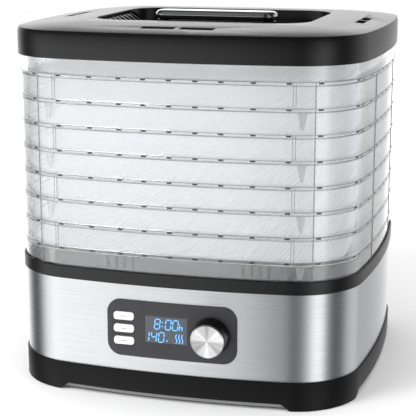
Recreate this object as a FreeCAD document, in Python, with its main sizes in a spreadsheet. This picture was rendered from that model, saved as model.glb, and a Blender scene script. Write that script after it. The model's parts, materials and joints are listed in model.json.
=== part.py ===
import FreeCAD, Part
import math
import os
import Sketcher

V = FreeCAD.Vector
os.makedirs("parts", exist_ok=True)
doc = FreeCAD.newDocument("FoodDehydrator")

# ---------------------------------------------------------------- driving dimensions, millimetres
# The body is a rounded square whose four sides bow outwards. Every shell follows that one outline,
# moved inwards by an inset. Heights are measured from the table top.
DIMENSIONS = {
    "half_width": 165.0,
    "half_depth": 155.9,
    "front_bow": 843.6,
    "side_bow": 821.0,
    "corner": 63.6,
    "skirt_bottom": 0.6,
    "arch_top": 6.6,
    "arch_half": 99.0,
    "floor_top": 9.1,
    "skirt_top": 26.4,
    "deck_bottom": 98.0,
    "deck_top": 101.0,
    "wrap_top": 106.0,
    "ring_top": 117.9,
    "first_floor": 134.3,
    "tray_pitch": 22.05,
    "floor_band": 3.4,
    "wall": 1.8,
    "lid_bottom": 302.3,
    "bevel_bottom": 322.4,
    "lid_edge": 326.2,
    "crown": 4.4,
    "lid_roof": 2.4,
    "recess_half_width": 101.0,
    "recess_half_depth": 76.0,
    "recess_corner": 30.0,
    "recess_floor": 314.0,
    "handle_length": 118.0,
    "handle_depth": 25.0,
    "handle_bottom": 326.0,
    "handle_top": 335.0,
    "panel_left": 58.7,
    "panel_right": 60.5,
    "panel_bottom": 40.0,
    "panel_top": 92.0,
    "panel_corner": 12.7,
    "button_x": 42.5,
    "button_width": 18.6,
    "button_height": 7.0,
    "button_z": 77.2,
    "button_pitch": 11.4,
    "display_left": 22.6,
    "display_right": 15.8,
    "display_bottom": 54.7,
    "display_top": 79.2,
    "knob_x": 38.2,
    "knob_z": 65.7,
    "knob_radius": 16.4,
    "fan_radius": 46.0,
    "shaft_radius": 2.5,
    "running_gap": 0.05,
}
sheet = doc.addObject("Spreadsheet::Sheet", "dims")
for row, (alias, value) in enumerate(DIMENSIONS.items(), start=1):
    sheet.set(f"A{row}", alias)
    sheet.set(f"B{row}", str(value))
    sheet.setAlias(f"B{row}", alias)
doc.recompute()

TRAYS = 8
D = DIMENSIONS
parts = []


def keep(obj, label):
    """A finished piece: its label names its file."""
    obj.Label = label
    parts.append(obj)
    return obj


def bind(obj, **expressions):
    """Bind properties such as Length or Placement.Base.x to expressions on the sheet."""
    for name, expression in expressions.items():
        path = name.replace("__", ".")
        text = str(expression)
        for alias in sorted(D, key=len, reverse=True):
            text = text.replace("$" + alias, "dims." + alias)
        obj.setExpression(path, text)


# ---------------------------------------------------------------- sketches on a body's own planes
def newBody(name):
    return doc.addObject("PartDesign::Body", name)


def newSketch(body, name, role="XY_Plane", height="0"):
    """A sketch on one of the body's origin planes, raised along the plane's normal."""
    plane = [f for f in body.Origin.OriginFeatures if f.Role == role][0]
    sketch = body.newObject("Sketcher::SketchObject", name)
    sketch.AttachmentSupport = [(plane, "")]
    sketch.MapMode = "FlatFace"
    bind(sketch, AttachmentOffset__Base__z=height)
    return sketch


def addConstraint(sketch, name, expression, *arguments):
    index = sketch.addConstraint(Sketcher.Constraint(*arguments))
    sketch.renameConstraint(index, name)
    bind(sketch, **{"Constraints." + name: expression})


def addOutline(sketch, inset, tag):
    """Eight tangent arcs: front, right, back, left and the four corners between them."""
    depth = evaluate(inset)
    front = D["front_bow"] - depth
    side = D["side_bow"] - depth
    corner = D["corner"] - depth
    front_y = D["front_bow"] - D["half_depth"]
    side_x = D["half_width"] - D["side_bow"]
    # The corner centre lies front - corner from the front arc's centre, side - corner from the side's.
    reach_front = front - corner
    reach_side = side - corner
    span = math.hypot(side_x, front_y)
    along = (reach_front**2 - reach_side**2 + span**2) / (2 * span)
    away = math.sqrt(reach_front**2 - along**2)
    ux = side_x / span
    uy = -front_y / span
    corner_x = ux * along - uy * away
    corner_y = front_y + uy * along + ux * away
    if corner_y > 0:
        corner_x = ux * along + uy * away
        corner_y = front_y + uy * along - ux * away
    front_angle = math.atan2(corner_y - front_y, corner_x)
    side_angle = math.atan2(corner_y, corner_x - side_x)
    quarter = math.pi / 2
    turns = [
        (V(0, front_y, 0), front, -math.pi - front_angle, front_angle),
        (V(corner_x, corner_y, 0), corner, front_angle, side_angle),
        (V(side_x, 0, 0), side, side_angle, -side_angle),
        (V(corner_x, -corner_y, 0), corner, -side_angle, -front_angle),
        (V(0, -front_y, 0), front, -front_angle, math.pi + front_angle),
        (V(-corner_x, -corner_y, 0), corner, math.pi + front_angle, math.pi + side_angle),
        (V(-side_x, 0, 0), side, math.pi + side_angle, math.pi - side_angle),
        (V(-corner_x, corner_y, 0), corner, math.pi - side_angle, math.pi - front_angle),
    ]
    first = sketch.GeometryCount
    for centre, radius, start, end in turns:
        circle = Part.Circle(centre, V(0, 0, 1), radius)
        sketch.addGeometry(Part.ArcOfCircle(circle, start, end))
    for i in range(8):
        here, after = first + i, first + (i + 1) % 8
        sketch.addConstraint(Sketcher.Constraint("Tangent", here, 2, after, 1))
    front_arc, right_arc, back_arc, left_arc = first, first + 2, first + 4, first + 6
    for arc in (front_arc, back_arc):
        sketch.addConstraint(Sketcher.Constraint("PointOnObject", arc, 3, -2))
    for arc in (right_arc, left_arc):
        sketch.addConstraint(Sketcher.Constraint("PointOnObject", arc, 3, -1))
    for arc in (front_arc, back_arc):
        addConstraint(sketch, f"{tag}Front{arc}", f"$front_bow - ({inset})", "Radius", arc, front)
    for arc in (right_arc, left_arc):
        addConstraint(sketch, f"{tag}Side{arc}", f"$side_bow - ({inset})", "Radius", arc, side)
    for i in range(4):
        arc = first + 1 + 2 * i
        addConstraint(sketch, f"{tag}Corner{arc}", f"$corner - ({inset})", "Radius", arc, corner)
    shift_y = "$front_bow - $half_depth"
    shift_x = "$side_bow - $half_width"
    addConstraint(sketch, f"{tag}Y{front_arc}", shift_y, "DistanceY", -1, 1, front_arc, 3, front_y)
    addConstraint(sketch, f"{tag}Y{back_arc}", shift_y, "DistanceY", back_arc, 3, -1, 1, front_y)
    addConstraint(sketch, f"{tag}X{right_arc}", shift_x, "DistanceX", right_arc, 3, -1, 1, -side_x)
    addConstraint(sketch, f"{tag}X{left_arc}", shift_x, "DistanceX", -1, 1, left_arc, 3, -side_x)


def addRoundedRect(sketch, tag, left, right, bottom, top, corner):
    """A rounded rectangle between four expressions, fully constrained."""
    value = {k: evaluate(e) for k, e in zip("lrbtc", (left, right, bottom, top, corner))}
    x0, x1, y0, y1, r = (value[k] for k in "lrbtc")
    first = sketch.GeometryCount
    corners = [(x1 - r, y0 + r, -90), (x1 - r, y1 - r, 0), (x0 + r, y1 - r, 90), (x0 + r, y0 + r, 180)]
    for i, (x, y, start) in enumerate(corners):
        begin = math.radians(start)
        arc = Part.ArcOfCircle(Part.Circle(V(x, y, 0), V(0, 0, 1), r), begin, begin + math.pi / 2)
        sketch.addGeometry(arc)
        nx, ny = corners[(i + 1) % 4][:2]
        end_angle = begin + math.pi / 2
        a = V(x + r * math.cos(end_angle), y + r * math.sin(end_angle), 0)
        b = V(nx + r * math.cos(end_angle), ny + r * math.sin(end_angle), 0)
        sketch.addGeometry(Part.LineSegment(a, b))
    for i in range(4):
        arc, line, after = first + 2 * i, first + 2 * i + 1, first + (2 * i + 2) % 8
        sketch.addConstraint(Sketcher.Constraint("Tangent", arc, 2, line, 1))
        sketch.addConstraint(Sketcher.Constraint("Tangent", line, 2, after, 1))
    for i in range(1, 4):
        sketch.addConstraint(Sketcher.Constraint("Equal", first, first + 2 * i))
    right_line, top_line, left_line, bottom_line = (first + 2 * i + 1 for i in range(4))
    sketch.addConstraint(Sketcher.Constraint("Vertical", right_line))
    sketch.addConstraint(Sketcher.Constraint("Horizontal", top_line))
    addConstraint(sketch, tag + "Corner", corner, "Radius", first, r)
    across = ("DistanceX", left_line, 1, right_line, 1, x1 - x0)
    upwards = ("DistanceY", bottom_line, 1, top_line, 1, y1 - y0)
    addConstraint(sketch, tag + "Width", f"({right}) - ({left})", *across)
    addConstraint(sketch, tag + "Height", f"({top}) - ({bottom})", *upwards)
    placeSigned(sketch, tag + "Right", right, "DistanceX", right_line, x1)
    placeSigned(sketch, tag + "Top", top, "DistanceY", top_line, y1)


def placeSigned(sketch, name, expression, kind, line, value):
    """A distance from the sketch's origin that may be negative."""
    if value >= 0:
        addConstraint(sketch, name, expression, kind, -1, 1, line, 1, value)
    else:
        addConstraint(sketch, name, f"-({expression})", kind, line, 1, -1, 1, -value)


def evaluate(expression):
    """The number that an expression on the sheet stands for."""
    text = str(expression)
    for alias in sorted(D, key=len, reverse=True):
        text = text.replace("$" + alias, repr(D[alias]))
    total = FreeCAD.Units.Quantity(text)
    return float(total.Value)


def pad(body, sketch, length):
    feature = body.newObject("PartDesign::Pad", sketch.Name + "Pad")
    feature.Profile = sketch
    bind(feature, Length=length)
    return feature


def slab(name, bottom, top, outer, inner=None):
    """The outline, or a wall between two insets of it, from one height to another."""
    body = newBody(name)
    addSlab(body, name, bottom, top, outer, inner)
    return body


def addSlab(body, name, bottom, top, outer, inner=None):
    sketch = newSketch(body, name + "Sketch", height=bottom)
    addOutline(sketch, outer, "outer")
    if inner is not None:
        addOutline(sketch, inner, "inner")
    return pad(body, sketch, f"({top}) - ({bottom})")


def bar(name, bottom, top, left, right, front, back, corner, role="XY_Plane"):
    """A rounded rectangle pushed from one height to another along its plane's normal."""
    body = newBody(name)
    sketch = newSketch(body, name + "Sketch", role=role, height=bottom)
    addRoundedRect(sketch, "rect", left, right, front, back, corner)
    pad(body, sketch, f"({top}) - ({bottom})")
    return body


# ---------------------------------------------------------------- primitives and booleans
def place(obj, x, y, z, turn=None):
    if turn:
        obj.Placement = FreeCAD.Placement(V(0, 0, 0), FreeCAD.Rotation(*turn))
    bind(obj, Placement__Base__x=x, Placement__Base__y=y, Placement__Base__z=z)
    return obj


def box(name, x, y, z, length, width, height, turn=None):
    obj = doc.addObject("Part::Box", name)
    bind(obj, Length=length, Width=width, Height=height)
    return place(obj, x, y, z, turn)


def cylinder(name, x, y, z, radius, height, turn=None):
    obj = doc.addObject("Part::Cylinder", name)
    bind(obj, Radius=radius, Height=height)
    return place(obj, x, y, z, turn)


def torus(name, z, ring, wire):
    obj = doc.addObject("Part::Torus", name)
    bind(obj, Radius1=ring, Radius2=wire)
    return place(obj, 0, 0, z)


def fuse(name, shapes):
    obj = doc.addObject("Part::MultiFuse", name)
    obj.Shapes = shapes
    return obj


def common(name, shapes):
    obj = doc.addObject("Part::MultiCommon", name)
    obj.Shapes = shapes
    return obj


def cut(name, base, tools):
    obj = doc.addObject("Part::Cut", name)
    obj.Base = base
    obj.Tool = tools[0] if len(tools) == 1 else fuse(name + "Tools", tools)
    return obj


def group(name, shapes):
    """Separate solids kept together in one piece."""
    obj = doc.addObject("Part::Compound", name)
    obj.Links = shapes
    return obj


# ---------------------------------------------------------------- base: outer shells
FOOT_X = 128
FOOT_Y = 119
FOOT_RADIUS = 9
SCREW_X = 108
SCREW_Y = 100
SCREW_RADIUS = 2
SCREW_HEAD = 4
BOARD_HEIGHT = 7
BOARD_SCREW_TOP = f"$floor_top + {BOARD_HEIGHT} + 1.5"
SIDES = [(x, y) for x in (-1, 1) for y in (-1, 1)]
UP = "$skirt_bottom"

base_screw_shapes = []
for x, y in SIDES:
    at = (x * SCREW_X, y * SCREW_Y)
    base_screw_shapes.append(cylinder("BaseScrewHead", *at, "$arch_top - 2", SCREW_HEAD, 2))
    base_screw_shapes.append(cylinder("BaseScrewShank", *at, "$arch_top", SCREW_RADIUS, 26))
base_screws = keep(fuse("BaseScrews", base_screw_shapes), "base_screws")

feet = [cylinder("Foot", x * FOOT_X, y * FOOT_Y, 0, FOOT_RADIUS, "$arch_top") for x, y in SIDES]
keep(group("RubberFeet", feet), "rubber_feet")

board_spots = [(x, y) for x in (-146, -82) for y in (-50, 50)]
board_screw_shapes = []
standoffs = []
for x, y in board_spots:
    board_screw_shapes.append(cylinder("BoardScrewShank", x, y, "$floor_top", 1.5, 8.5))
    board_screw_shapes.append(cylinder("BoardScrewHead", x, y, BOARD_SCREW_TOP, 3, 2))
    standoffs.append(cylinder("Standoff", x, y, "$floor_top", 3.5, BOARD_HEIGHT))
board_screws = keep(fuse("BoardScrews", board_screw_shapes), "board_screws")

skirt = slab("PanSkirt", UP, "$skirt_top", 0.6, 3.6)
ARCH_FLARE = 9
SIDE_ARCH_LESS = 6
ARCH_REACH = 200
arches = []
for role, less in (("XZ_Plane", 0), ("YZ_Plane", SIDE_ARCH_LESS)):
    arch = newBody("Arch")
    profile = newSketch(arch, "ArchSketch", role=role, height=-ARCH_REACH)
    spread = D["arch_half"] - less
    foot = spread + ARCH_FLARE
    rise = D["arch_top"]
    points = [V(-foot, 0, 0), V(foot, 0, 0), V(spread, rise, 0), V(-spread, rise, 0)]
    for i in range(4):
        profile.addGeometry(Part.LineSegment(points[i], points[(i + 1) % 4]))
    for i in range(4):
        profile.addConstraint(Sketcher.Constraint("Coincident", i, 2, (i + 1) % 4, 1))
    profile.addConstraint(Sketcher.Constraint("Horizontal", 0))
    profile.addConstraint(Sketcher.Constraint("Symmetric", 0, 1, 0, 2, -1, 1))
    profile.addConstraint(Sketcher.Constraint("Symmetric", 2, 1, 2, 2, -2))
    half = f"$arch_half - {less}"
    addConstraint(profile, "Base", f"2 * ({half} + {ARCH_FLARE})", "DistanceX", 0, 1, 0, 2, 2 * foot)
    addConstraint(profile, "Top", f"2 * ({half})", "DistanceX", 2, 2, 2, 1, 2 * spread)
    addConstraint(profile, "Rise", "$arch_top", "DistanceY", 0, 2, 2, 1, rise)
    pad(arch, profile, 2 * ARCH_REACH)
    arches.append(arch)
open_skirt = cut("OpenSkirt", skirt, arches)
pan_floor = slab("PanFloor", "$arch_top", "$floor_top", 3.6)
pan_lip = slab("PanLip", 1.8, "$arch_top", 6.2, 8.4)
INTAKE_RADIUS = 3
intake = [cylinder("IntakeHole", 0, 0, "$arch_top - 1", INTAKE_RADIUS, 5)]
for ring, holes in ((12, 6), (22, 12), (32, 18), (42, 24)):
    for i in range(holes):
        angle = 2 * math.pi * i / holes
        at = (round(ring * math.cos(angle), 3), round(ring * math.sin(angle), 3))
        intake.append(cylinder("IntakeHole", *at, "$arch_top - 1", INTAKE_RADIUS, 5))
pan_solid = fuse("PanSolid", [open_skirt, pan_floor, pan_lip] + standoffs)
keep(cut("BasePan", pan_solid, intake + [base_screws, board_screws]), "base_pan")

GLAND_X = -90
GLAND_Z = 38
GLAND_START = 140
GLAND_LENGTH = 29
GLAND_RADIUS = 8
GLAND_FLANGE = 11
GLAND_BORE = 3.7
WRAP_INSET = 2.0
ALONG_Y = (V(1, 0, 0), -90)


def rod(name, x, y, z, radius, length):
    """A cylinder lying along +Y from the given point."""
    return cylinder(name, x, y, z, radius, length, ALONG_Y)


gland_body = rod("GlandBody", GLAND_X, GLAND_START, GLAND_Z, GLAND_RADIUS, GLAND_LENGTH)
gland_nut = rod("GlandNut", GLAND_X, GLAND_START + 0.5, GLAND_Z, GLAND_FLANGE, 5)
gland_bore = rod("GlandBore", GLAND_X, GLAND_START - 1, GLAND_Z, GLAND_BORE, GLAND_LENGTH + 2)
flange_block = rod("GlandFlangeBlock", GLAND_X, GLAND_START + 6, GLAND_Z, GLAND_FLANGE, 7.5)
wrap_inside = slab("WrapInside", "$skirt_top", "$deck_bottom", WRAP_INSET)
gland_flange = cut("GlandFlange", flange_block, [wrap_inside])
gland_solid = fuse("GlandSolid", [gland_body, gland_flange, gland_nut])
keep(cut("CordGland", gland_solid, [gland_bore]), "cord_gland")

wrap = slab("WrapWall", "$skirt_top", "$wrap_top", WRAP_INSET, WRAP_INSET + 0.8)
PANEL = ("$panel_bottom", "$panel_top", "$panel_corner")
panel_block = bar("PanelBlock", 100, 170, "-$panel_left", "$panel_right", *PANEL, role="XZ_Plane")
keep(cut("SteelWrap", wrap, [panel_block, gland_body]), "steel_wrap")

SEAT = "$first_floor - $tray_pitch"
ring_body = newBody("RingBody")
addSlab(ring_body, "RingFoot", "$wrap_top", SEAT, 0, 9)
addSlab(ring_body, "RingRim", SEAT, "$ring_top", 0, 1.6)
keep(ring_body, "top_ring")

deck_wall = slab("DeckWall", "$deck_top", "$wrap_top", 3.0, 5.0)
deck_plate = slab("DeckPlate", "$deck_bottom", "$deck_top", 3.0)
deck_hole = cylinder("DeckHole", 0, 0, "$deck_bottom - 1", 50, 6)
posts = [
    cylinder("DeckPost", x * SCREW_X, y * SCREW_Y, "$floor_top", 5, "$deck_bottom - $floor_top")
    for x, y in SIDES
]
deck_solid = fuse("DeckSolid", [deck_wall, deck_plate] + posts)
keep(cut("InnerDeck", deck_solid, [deck_hole, base_screws]), "inner_deck")

# ---------------------------------------------------------------- base: warm air path
HOUSING_X = 90
HOUSING_Y = 105
HOUSING_TOP = "$first_floor - 6.3"
housing_sides = (-HOUSING_X, HOUSING_X, -HOUSING_Y, HOUSING_Y, 12)
housing_block = bar("HousingBlock", "$deck_top", HOUSING_TOP, *housing_sides)
inside = (-HOUSING_X + 2, HOUSING_X - 2, -HOUSING_Y + 2, HOUSING_Y - 2, 10)
housing_hollow = bar("HousingHollow", "$deck_top - 1", f"{HOUSING_TOP} - 2", *inside)
top_slots = [
    box("TopSlot", x - 2.5, -70, "$first_floor - 10", 5, 140, 8) for x in range(-70, 71, 14)
]
side_slots = [
    box("SideSlot", x, -HOUSING_Y - 2, "$deck_top + 5", 3, 2 * HOUSING_Y + 4, 12)
    for x in list(range(-76, -50, 8)) + list(range(52, 77, 8))
]
housing_cuts = [housing_hollow] + top_slots + side_slots
keep(cut("AirHousing", housing_block, housing_cuts), "air_housing")

SHROUD_BOTTOM = 52
SHROUD_BORE = "$fan_radius + 4"
SHROUD_HEIGHT = f"$deck_bottom - {SHROUD_BOTTOM}"
shroud_outer = cylinder("ShroudOuter", 0, 0, SHROUD_BOTTOM, f"{SHROUD_BORE} + 2", SHROUD_HEIGHT)
shroud_flange = cylinder("ShroudFlange", 0, 0, "$deck_bottom - 3", f"{SHROUD_BORE} + 10", 3)
shroud_bore = cylinder("ShroudBore", 0, 0, SHROUD_BOTTOM - 2, SHROUD_BORE, "$deck_bottom")
shroud_solid = fuse("ShroudSolid", [shroud_outer, shroud_flange])
keep(cut("FanShroud", shroud_solid, [shroud_bore]), "fan_shroud")

guard_rings = [torus("GuardRing", "$deck_top - 2", ring, 1) for ring in (14, 26, 38)]
ARM = 49.9
guard_bars = [
    box("GuardBarX", -ARM, -1, "$deck_top - 3", 2 * ARM, 2, 2),
    box("GuardBarY", -1, -ARM, "$deck_top - 3", 2, 2 * ARM, 2),
]
keep(fuse("FanGuard", guard_rings + guard_bars), "fan_guard")

coils = [torus("CoilRing", 88, ring, 1.8) for ring in (20, 29, 38)]
coil_link = box("CoilLink", 20, 4, 87, 18, 2, 2)
heater_coil = keep(fuse("HeaterCoil", coils + [coil_link]), "heater_coil")
frame_boards = [
    box("BoardX", -ARM, -1, 80, 2 * ARM, 2, 12),
    box("BoardY", -1, -ARM, 80, 2, 2 * ARM, 12),
]
frame_solid = fuse("FrameSolid", frame_boards)
keep(cut("HeaterFrame", frame_solid, [heater_coil]), "heater_frame")
keep(box("ThermalCutout", 52, -6, 74, 5, 12, 16), "thermal_cutout")
probe_parts = [
    cylinder("ProbeCollar", 70, 0, "$deck_top", 4, 2),
    cylinder("ProbeTip", 70, 0, "$deck_top + 2", 2, 16),
]
keep(fuse("TemperatureProbe", probe_parts), "temperature_probe")

PLATE_BOTTOM = 24
PLATE_TOP = 26
PLATE_HALF = 64
MOTOR_TOP = 50
motor_screw_shapes = []
for x in (-18, 18):
    motor_screw_shapes.append(cylinder("MotorScrewHead", x, 0, PLATE_BOTTOM - 2, 3, 2))
    motor_screw_shapes.append(cylinder("MotorScrewShank", x, 0, PLATE_BOTTOM, 1.5, 8))
motor_screws = keep(fuse("MotorScrews", motor_screw_shapes), "motor_screws")
bracket_plate = box("BracketPlate", -PLATE_HALF, -14, PLATE_BOTTOM, 2 * PLATE_HALF, 28, 2)
leg_height = f"{PLATE_BOTTOM} - $floor_top"
bracket_legs = [
    box("BracketLeg", x, -14, "$floor_top", 2, 28, leg_height) for x in (-PLATE_HALF, PLATE_HALF - 2)
]
bracket_feet = [
    box("BracketFoot", x, -14, "$floor_top", 14, 28, 2) for x in (-PLATE_HALF - 14, PLATE_HALF)
]
bracket_solid = fuse("BracketSolid", [bracket_plate] + bracket_legs + bracket_feet)
keep(cut("MotorBracket", bracket_solid, [motor_screws]), "motor_bracket")
motor_can = cylinder("MotorCan", 0, 0, PLATE_TOP, 26, MOTOR_TOP - PLATE_TOP)
motor_nose = cylinder("MotorNose", 0, 0, MOTOR_TOP, 8, 4)
motor_bore = cylinder("MotorBore", 0, 0, 35, "$shaft_radius + $running_gap", 20)
motor_solid = fuse("MotorSolid", [motor_can, motor_nose])
keep(cut("FanMotor", motor_solid, [motor_bore, motor_screws]), "fan_motor")

# ---------------------------------------------------------------- fan
keep(cylinder("FanShaft", 0, 0, 36, "$shaft_radius", 38), "fan_shaft")
HUB_BOTTOM = 57
HUB_HEIGHT = 14
HUB_RADIUS = 14
BLADE_WIDTH = 18
BLADE_THICK = 1.8
BLADE_PITCH = 32
hub = cylinder("FanHub", 0, 0, HUB_BOTTOM, HUB_RADIUS, HUB_HEIGHT)
hub_bore = cylinder("HubBore", 0, 0, HUB_BOTTOM - 1, "$shaft_radius", HUB_HEIGHT + 2)
BLADES = 7
blades = []
for i in range(BLADES):
    blade = doc.addObject("Part::Box", "Blade")
    bind(blade, Length=f"$fan_radius - {HUB_RADIUS - 1}", Width=BLADE_WIDTH, Height=BLADE_THICK)
    spin = FreeCAD.Rotation(V(0, 0, 1), 360.0 * i / BLADES)
    pitch = FreeCAD.Rotation(V(1, 0, 0), BLADE_PITCH)
    turn = spin.multiply(pitch)
    root = V(HUB_RADIUS - 1, -BLADE_WIDTH / 2, -BLADE_THICK / 2)
    middle = V(0, 0, HUB_BOTTOM + HUB_HEIGHT / 2)
    blade.Placement = FreeCAD.Placement(middle + turn.multVec(root), turn)
    blades.append(blade)
fan_solid = fuse("FanSolid", [hub] + blades)
keep(cut("FanBlade", fan_solid, [hub_bore]), "fan_blade")

# ---------------------------------------------------------------- control panel
KNOB = ("$knob_x", "$knob_z")
button_levels = [f"$button_z - {i} * $button_pitch" for i in range(3)]


def buttonBlock(name, level, clear, bottom, top):
    half = f"$button_width / 2 + {clear}"
    low = f"{level} - $button_height / 2 - {clear}"
    high = f"{level} + $button_height / 2 + {clear}"
    sides = (f"-$button_x - ({half})", f"-$button_x + {half}")
    return bar(name, bottom, top, *sides, low, high, 2.4 + clear, role="XZ_Plane")


front_wall = slab("PanelFrontWall", "$panel_bottom - 1", "$panel_top + 1", 1.0, 2.8)
back_wall = slab("PanelBackWall", "$panel_bottom - 6", "$panel_top + 6", 2.8, 4.5)
flange_sides = ("-$panel_left - 4", "$panel_right + 4", "$panel_bottom - 4", "$panel_top + 4")
border_block = bar("BorderBlock", 100, 170, *flange_sides, "$panel_corner + 4", role="XZ_Plane")
panel_face = common("PanelFace", [front_wall, panel_block])
panel_flange = common("PanelFlange", [back_wall, border_block])
panel_solid = fuse("PanelSolid", [panel_face, panel_flange])
holes = [buttonBlock("ButtonHole", level, 0.3, 140, 165) for level in button_levels]
window_size = ("$display_left + $display_right", "$display_top - $display_bottom")
window_corner = ("-$display_left", "$display_bottom")
display_hole = box(
    "DisplayHole", window_corner[0], -165, window_corner[1], window_size[0], 25, window_size[1]
)
bush_hole = rod("BushHole", KNOB[0], -165, KNOB[1], 3.8, 25)
keep(cut("ControlPanel", panel_solid, holes + [display_hole, bush_hole]), "control_panel")
window = box(
    "DisplayWindow", window_corner[0], -154.6, window_corner[1], window_size[0], 2.2, window_size[1]
)
keep(window, "display_window")
module_size = (f"{window_size[0]} + 4", 5.9, f"{window_size[1]} + 4")
module = box("DisplayModule", "-$display_left - 2", -150.9, "$display_bottom - 2", *module_size)
keep(module, "display_module")
keep(box("ControlBoard", -56, -145, 44, 113, 1.6, 44), "control_board")
switches = [
    box("TactSwitch", "-$button_x - 3", -148.5, f"{level} - 3", 6, 3.5, 6) for level in button_levels
]
keep(group("TactSwitches", switches), "tact_switches")
encoder_case = box("EncoderCase", "$knob_x - 6", -150.3, "$knob_z - 6", 12, 5.3, 12)
encoder_bush = rod("EncoderBush", KNOB[0], -155.2, KNOB[1], 3.5, 5)
encoder_bore = rod("EncoderBore", KNOB[0], -156, KNOB[1], "3 + $running_gap", 9.4)
encoder_solid = fuse("EncoderSolid", [encoder_case, encoder_bush])
keep(cut("EncoderBody", encoder_solid, [encoder_bore]), "encoder_body")

for i, level in enumerate(button_levels):
    cap = buttonBlock("ButtonCap", level, 0, 150.6, 155.6)
    stem = rod("ButtonStem", "-$button_x", -150.7, level, 1.6, 1.5)
    keep(fuse("Button", [cap, stem]), f"button_{('top', 'middle', 'bottom')[i]}")

# ---------------------------------------------------------------- knob
keep(rod("EncoderShaft", KNOB[0], -168, KNOB[1], 3, 20), "encoder_shaft")
skirt_cone = doc.addObject("Part::Cone", "KnobCone")
bind(skirt_cone, Radius1="$knob_radius - 1.2", Radius2="$knob_radius + 0.6", Height=14.1)
place(skirt_cone, KNOB[0], -169.9, KNOB[1], ALONG_Y)
knob_bore = rod("KnobBore", KNOB[0], -168, KNOB[1], 3, 14)
keep(cut("KnobSkirt", skirt_cone, [knob_bore]), "knob_skirt")
keep(rod("KnobCap", KNOB[0], -171.3, KNOB[1], "$knob_radius - 1.4", 1.4), "knob_cap")

# ---------------------------------------------------------------- base: electrics
power_board = box("PowerBoardBlank", -150, -54, f"$floor_top + {BOARD_HEIGHT}", 72, 108, 1.5)
keep(cut("PowerBoard", power_board, [board_screws]), "power_board")
BOARD_ITEMS = {
    "transformer": (-142, -34, 36, 30, 26),
    "relay": (-138, 6, 20, 16, 16),
    "filter_capacitor": (-108, 4, 18, 9, 14),
    "terminal_block": (-132, 32, 30, 12, 12),
}
for label, (x, y, *size) in BOARD_ITEMS.items():
    keep(box("BoardItem", x, y, BOARD_SCREW_TOP, *size), label)

# ---------------------------------------------------------------- trays
UPSTAND = 17.5
for number in range(TRAYS):
    level = f"$first_floor + {number} * $tray_pitch"
    tray_wall = slab("TraySkirt", f"{level} - $tray_pitch", f"{level} - $floor_band", 2.0, "2 + $wall")
    tray_floor = slab("TrayFloor", f"{level} - $floor_band", f"{level} - 1.4", 2.0, "7 + $wall")
    tray_mesh = slab("TrayMesh", f"{level} - 1.4", level, 2.0)
    upstand = slab("TrayUpstand", level, f"{level} + {UPSTAND}", 7.0, "7 + $wall")
    slots = [
        box("MeshSlot", -118, y, f"{level} - 3", 236, 12, 4) for y in range(-114, 103, 18)
    ]
    tray_solid = fuse("TraySolid", [tray_wall, tray_floor, tray_mesh, upstand])
    keep(cut("Tray", tray_solid, slots), f"tray_{number + 1}")

# ---------------------------------------------------------------- lid


def loft(name, sections):
    """Straight-sided shell through outlines given as (height, inset)."""
    body = newBody(name)
    sketches = []
    for height, inset in sections:
        sketch = newSketch(body, f"{name}Section", height=height)
        addOutline(sketch, inset, "outer")
        sketches.append(sketch)
    feature = body.newObject("PartDesign::AdditiveLoft", name + "Loft")
    feature.Profile = sketches[0]
    feature.Sections = sketches[1:]
    feature.Ruled = True
    return body


RIM = "$bevel_bottom"
TOP = "$lid_edge + $crown"
ROOF = "$lid_roof"
outer_sections = [("$lid_bottom", 0.1), (RIM, 0.1), ("$lid_edge", 1.2), ("$lid_edge + 2.6", 27), (TOP, 55)]
inner_sections = [
    ("$lid_bottom - 1", 2.6),
    (f"{RIM} - {ROOF}", 2.6),
    (f"$lid_edge - {ROOF}", 3.7),
    (f"$lid_edge + 2.6 - {ROOF}", 27),
    (f"{TOP} - {ROOF}", 55),
]
lid_outer = loft("LidOuter", outer_sections)
lid_inner = loft("LidInner", inner_sections)
RX = "$recess_half_width"
RY = "$recess_half_depth"
tub_sides = (f"-{RX} - 2", f"{RX} + 2", f"-{RY} - 2", f"{RY} + 2", "$recess_corner + 2")
recess_sides = (f"-{RX}", RX, f"-{RY}", RY, "$recess_corner")
tub = bar("LidTub", "$recess_floor - 2", f"{TOP} - 1", *tub_sides)
recess = bar("LidRecess", "$recess_floor", f"{TOP} + 5", *recess_sides)
vents = []
for side in (-1, 1):
    for start in (-32.5, 2.5):
        vents.append(box("VentFront", start, f"{side} * 126 - 5.5", RIM, 30, 11, 12))
    for start in (-28, 2):
        vents.append(box("VentSide", f"{side} * 140 - 4", start, RIM, 8, 26, 12))
outlets = [box("Outlet", x, -50, "$recess_floor - 3", 3, 100, 4) for x in (-92, -86, -80, 77, 83, 89)]
lid_hollow = cut("LidHollow", lid_outer, [lid_inner])
lid_solid = fuse("LidSolid", [lid_hollow, tub])
POST_SPOTS = (-52, 52)
handle_screw_shapes = []
for x in POST_SPOTS:
    head = cylinder("HandleScrewHead", x, 0, "$recess_floor - 4", SCREW_HEAD, 2)
    shank = cylinder("HandleScrewShank", x, 0, "$recess_floor - 2", SCREW_RADIUS, 12)
    handle_screw_shapes += [head, shank]
handle_screws = keep(fuse("HandleScrews", handle_screw_shapes), "handle_screws")
keep(cut("LidShell", lid_solid, [recess, handle_screws] + vents + outlets), "lid_shell")
REST = f"$first_floor + {TRAYS - 1} * $tray_pitch + {UPSTAND}"
liner = slab("LinerPlate", REST, f"{REST} + 2", 2.6)
liner_slots = [box("LinerSlot", -110, y, REST, 220, 16, 4) for y in range(-104, 91, 24)]
keep(cut("LidLiner", liner, liner_slots), "lid_liner")
half_length = "$handle_length / 2"
half_grip = "$handle_depth / 2"
bar_sides = (f"-({half_length})", half_length, f"-({half_grip})", half_grip, "$handle_depth / 2 - 1")
keep(bar("LidHandle", "$handle_bottom", "$handle_top", *bar_sides), "lid_handle")
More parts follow.
